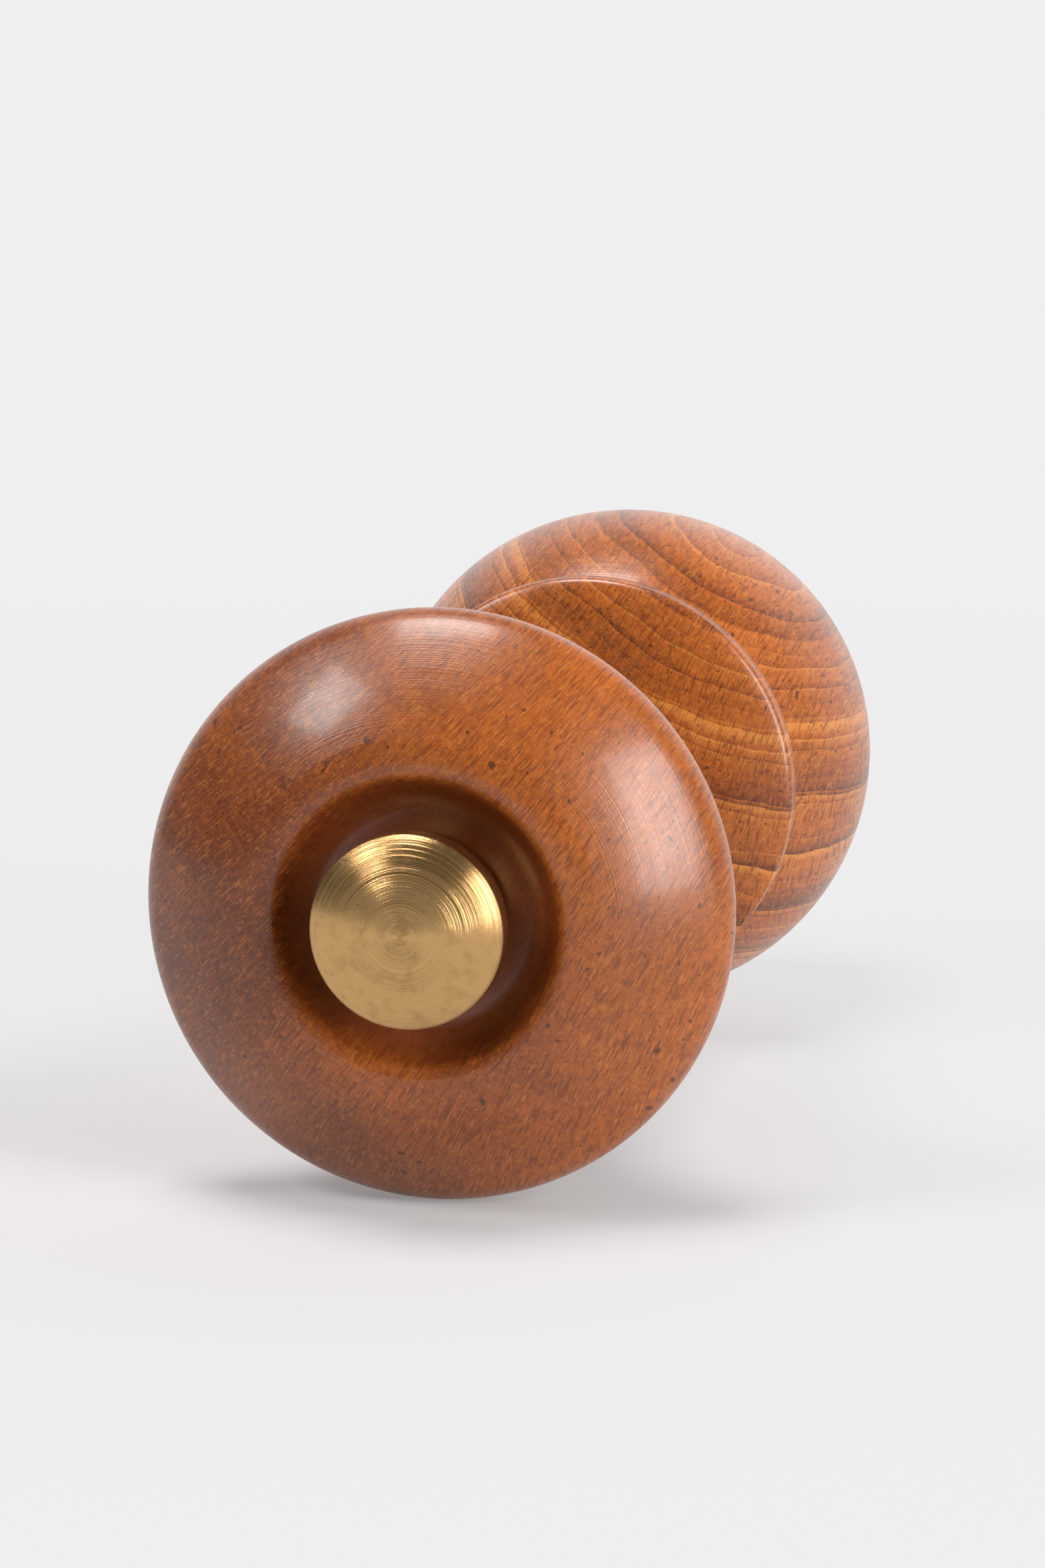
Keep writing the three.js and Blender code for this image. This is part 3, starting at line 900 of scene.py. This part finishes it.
class MILL_OT_screws(bpy.types.Operator):
    """Make the four slotted screws and the drive plate on the tenon"""

    bl_idname = "mill.screws"
    bl_label = "Screws and drive plate"

    def execute(self, context):
        steel = finish_named("Steel")
        edge = context.scene.mill_sizes.eased_edge
        plate = refined("drive_plate", "square_hole_plate", edge)
        install(plate, "drive_plate", "head", steel)
        groups = (("strap_screw", STRAP_SCREW, "body"), ("drive_screw", DRIVE_SCREW, "head"))
        for node, screw, body in groups:
            for number, side in ((1, -1), (2, 1)):
                piece = self.slotted_screw(f"slotted_{node}_{number}", screw, side)
                install(piece, f"{node}_{number}", body, steel)
        return {"FINISHED"}

    def slotted_screw(self, name, screw, side):
        """A screw on the mill's axis is turned and slotted, then moved to its place."""
        under_head = screw["face"]
        top = under_head - screw["head_thick"]
        tip = under_head + screw["length"]
        outline = Outline(0, top)
        outline.curve((screw["head"] * 0.7, top), (screw["head"], top + 0.55), steps=5)
        outline.to((screw["head"], under_head), (screw["shank"], under_head))
        outline.to((screw["shank"], tip - 2 * screw["shank"]), (0, tip))
        piece = turned(name, outline, sides=40)
        slot_deep = screw["head_thick"] * 0.45
        slot = block(
            "slot", at(0, top), Vector((3 * screw["head"], 2 * slot_deep, screw["head"] / 4)) * MM
        )
        carve(piece, slot)
        select_only(piece)
        bpy.ops.transform.translate(value=(side * screw["x"] * MM, 0, 0))
        bpy.ops.object.transform_apply(location=True, rotation=False, scale=False)
        bpy.ops.object.shade_smooth_by_angle(angle=math.radians(30))
        return piece


# ------------------------------------------------------------------ the studio


def softbox(name, towards, width, height, radiance):
    """A rectangular light that faces the mill from one side."""
    spot = STUDIO_CENTRE + Vector(towards).normalized() * SOFTBOX_DISTANCE
    bpy.ops.object.light_add(type="AREA", location=spot)
    light = name_piece(name)
    light.rotation_euler = (STUDIO_CENTRE - spot).to_track_quat("-Z", "Y").to_euler()
    light.data.shape = "RECTANGLE"
    light.data.size = width
    light.data.size_y = height
    light.data.energy = 4 * width * height * radiance
    light.visible_camera = False


def floor_material():
    """Pale paper near the mill that turns into even white further out."""
    material = bpy.data.materials.new("Pale floor")
    material.use_nodes = True
    nodes, r = material.node_tree.nodes, Recipe(material.node_tree)
    nodes.clear()
    x, y, _ = r.axes(r.node("TexCoord", output=3))
    right, behind = x - PAPER_CENTRE[0], y - PAPER_CENTRE[1]
    away = r.math("SQRT", right * right + behind * behind)
    even = r.fade(away, 0.015, 0.12) * 0.75 + r.fade(away, 0.25, 0.6) * 0.25
    white = r.node("Emission", {}, {"Color": (1, 1, 1, 1), "Strength": PAPER_WHITE})
    paper = r.node("BsdfDiffuse", {}, {"Color": PAPER_COLOUR})
    glow = r.node("Emission", {}, {"Color": (1, 1, 1, 1), "Strength": PAPER_GLOW})
    near = r.node("AddShader", {}, {0: paper, 1: glow})
    surface = r.node("MixShader", {}, {0: even, 1: near, 2: white})
    r.feed(nodes.new("ShaderNodeOutputMaterial").inputs["Surface"], surface)
    return material


def studio_world():
    """A pale sweep behind the mill and a dim room in front; seen directly, it's paper white."""
    world = bpy.data.worlds.new("Studio")
    world.use_nodes = True
    bpy.context.scene.world = world
    nodes, r = world.node_tree.nodes, Recipe(world.node_tree)
    _, back, height = r.axes(r.node("TexCoord", output=0))
    sweep = r.fade(back, 0.2, 0.6) * r.fade(height, 0.6, 0.85, 1.0, 0.0)
    white = (PAPER_WHITE, PAPER_WHITE, PAPER_WHITE, 1)
    room = r.mix(sweep, ROOM_COLOUR, (SWEEP, SWEEP, SWEEP, 1))
    seen = r.mix(r.node("LightPath", output=0), room, white)
    r.feed(nodes["Background"].inputs["Color"], seen)


class MILL_OT_stage(bpy.types.Operator):
    """Set up the pale floor, the softboxes, the world and the camera"""

    bl_idname = "mill.stage"
    bl_label = "Studio"

    def execute(self, context):
        select_only()
        bpy.ops.mesh.primitive_plane_add(size=12, location=(0, 0, 0))
        floor = name_piece("pale_floor")
        floor.data.materials.append(floor_material())
        studio_world()
        for name, box in SOFTBOXES.items():
            softbox(name, **box)
        bpy.ops.object.camera_add(location=CAMERA_PLACE)
        camera = name_piece("camera")
        camera.rotation_euler = (CAMERA_AIM - CAMERA_PLACE).to_track_quat("-Z", "Y").to_euler()
        camera.data.lens = CAMERA_LENS
        camera.data.clip_start = 0.01
        context.scene.camera = camera
        context.scene.view_settings.view_transform = "Standard"
        return {"FINISHED"}


# ------------------------------------------------------------------ the add-on


PIECES = (
    MILL_OT_body,
    MILL_OT_head,
    MILL_OT_knob,
    MILL_OT_brass_rings,
    MILL_OT_spindle,
    MILL_OT_cutters,
    MILL_OT_spring,
    MILL_OT_strap,
    MILL_OT_screws,
    MILL_OT_stage,
)


class MILL_PT_sidebar(bpy.types.Panel):
    bl_idname = "MILL_PT_sidebar"
    bl_label = "Pepper mill"
    bl_space_type = "VIEW_3D"
    bl_region_type = "UI"
    bl_category = "Mill"

    def draw(self, context):
        for group in (context.scene.mill_sizes, context.scene.mill_colours):
            for name in group.__annotations__:
                self.layout.prop(group, name)
        for piece in PIECES:
            self.layout.operator(piece.bl_idname)


CLASSES = (MillSizes, MillColours, *PIECES, MILL_PT_sidebar)


def register():
    for each in CLASSES:
        bpy.utils.register_class(each)
    bpy.types.Scene.mill_sizes = bpy.props.PointerProperty(type=MillSizes)
    bpy.types.Scene.mill_colours = bpy.props.PointerProperty(type=MillColours)


def unregister():
    del bpy.types.Scene.mill_colours
    del bpy.types.Scene.mill_sizes
    for each in reversed(CLASSES):
        bpy.utils.unregister_class(each)


def main():
    register()
    bpy.ops.mill.body()
    bpy.ops.mill.head()
    bpy.ops.mill.knob()
    bpy.ops.mill.brass_rings()
    bpy.ops.mill.spindle()
    bpy.ops.mill.cutters()
    bpy.ops.mill.spring()
    bpy.ops.mill.strap()
    bpy.ops.mill.screws()
    bpy.ops.mill.stage()


if __name__ == "__main__":
    main()
